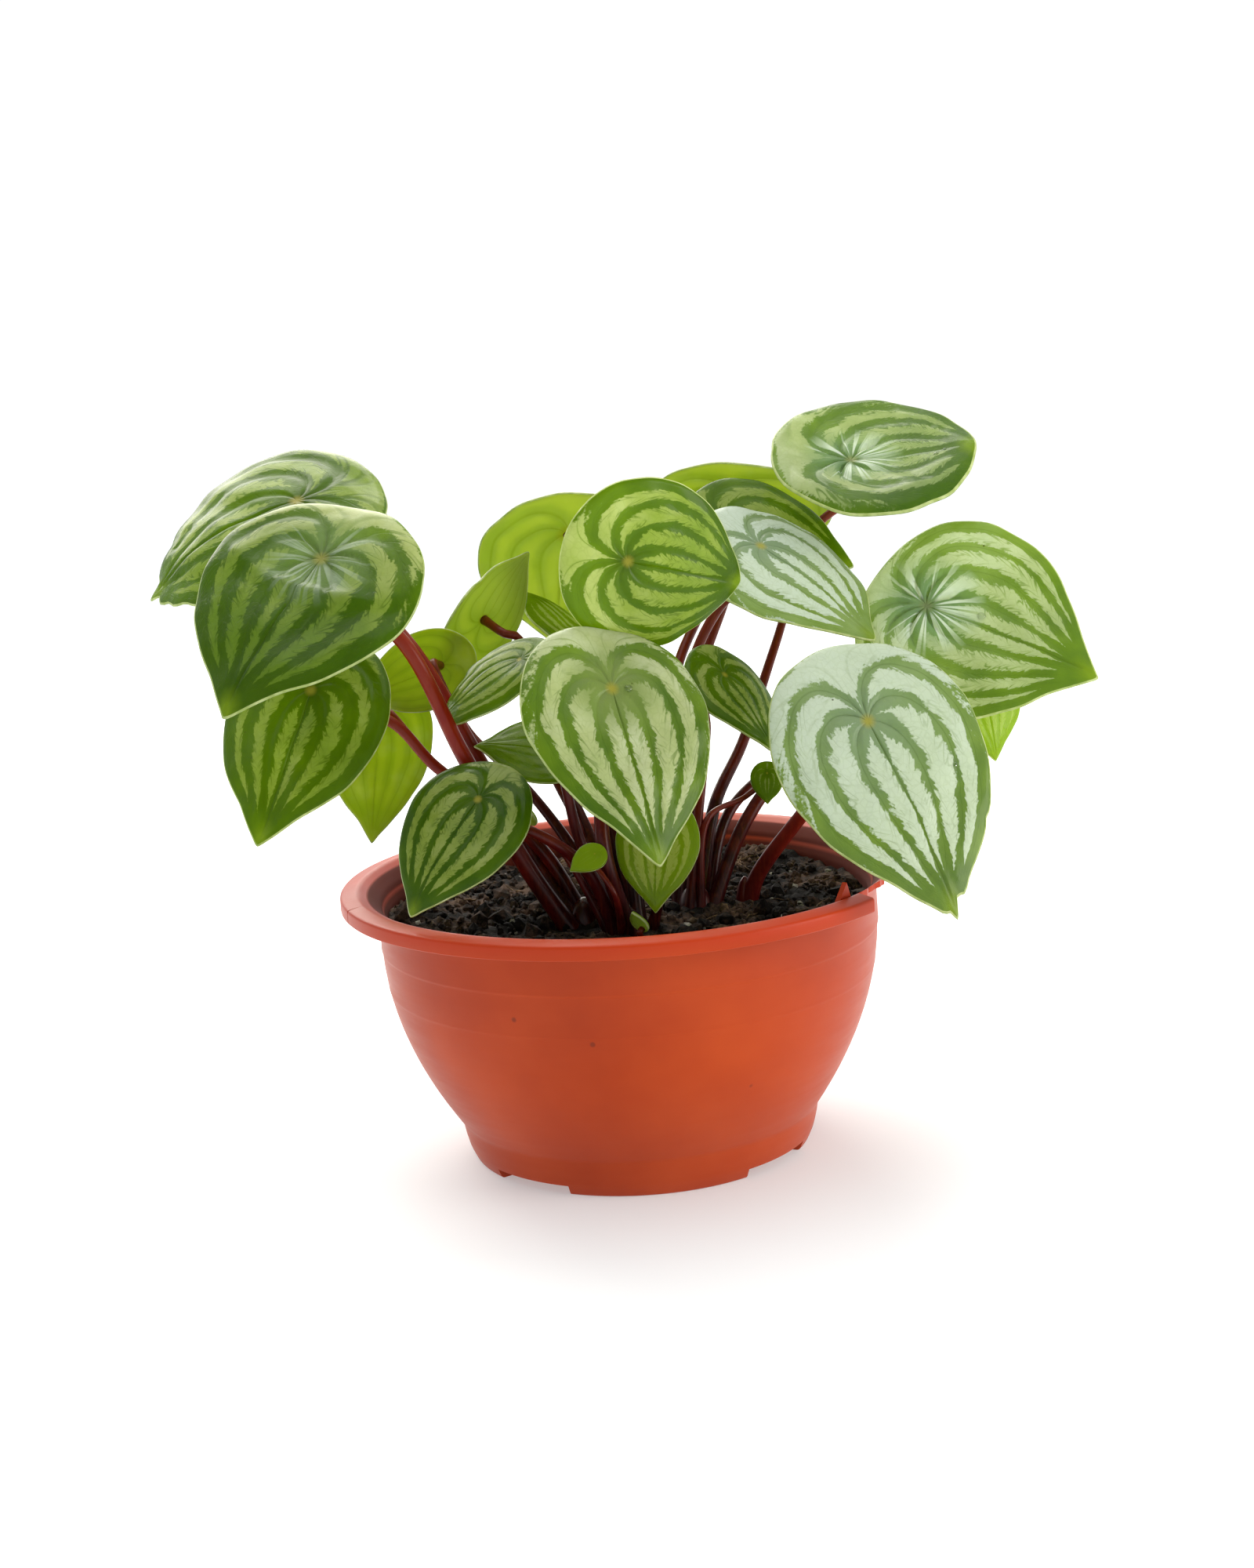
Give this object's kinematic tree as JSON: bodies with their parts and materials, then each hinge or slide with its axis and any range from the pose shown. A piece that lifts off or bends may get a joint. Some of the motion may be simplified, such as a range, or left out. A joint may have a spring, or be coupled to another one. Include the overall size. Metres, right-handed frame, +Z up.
{
  "type": "potted peperomia",
  "caption": "Watermelon peperomia with striped shield-shaped leaves on red stalks, growing in soil in a round plastic bowl pot.",
  "frame": {"origin": "on the pot's axis, at the level of its foot", "axes": "+Z up, -Y towards the side the plant faces, +X to the right of that view"},
  "size_m": [0.2932, 0.18, 0.228],
  "materials": {
    "pot": "moulded, satin, terracotta colour",
    "soil": "crumbly peat",
    "stalk": "smooth, fleshy, dark red",
    "leaf": "waxy, green with silver bands",
    "young_leaf": "waxy, yellow-green"
  },
  "bodies": {
    "root": {"pot": "pot", "soil": "soil", "shoot_left": "stalk", "shoot_centre": "stalk", "shoot_right": "stalk", "shoot_far_right": "stalk", "leaf_left_front": "leaf", "leaf_left_back": "leaf", "leaf_left_lower": "leaf", "leaf_left_hanging": "leaf", "leaf_folded_upper": "leaf", "leaf_folded_lower": "leaf", "leaf_small_torn": "leaf", "leaf_back_left": "leaf", "leaf_centre_upper": "leaf", "leaf_small_behind": "leaf", "leaf_centre_front": "leaf", "leaf_centre_right": "leaf", "leaf_back_centre": "leaf", "leaf_back_right": "leaf", "leaf_top_saucer": "leaf", "leaf_right_large": "leaf", "leaf_right_front": "leaf", "leaf_right_inner": "leaf", "leaf_front_left": "leaf", "leaf_front_young": "young_leaf", "leaf_small_inner": "leaf", "leaf_right_small": "young_leaf", "leaf_tiny_curled": "leaf", "leaf_bud_front": "young_leaf", "leaf_bud_left": "young_leaf", "leaf_sprout": "young_leaf"}
  },
  "joints": []
}
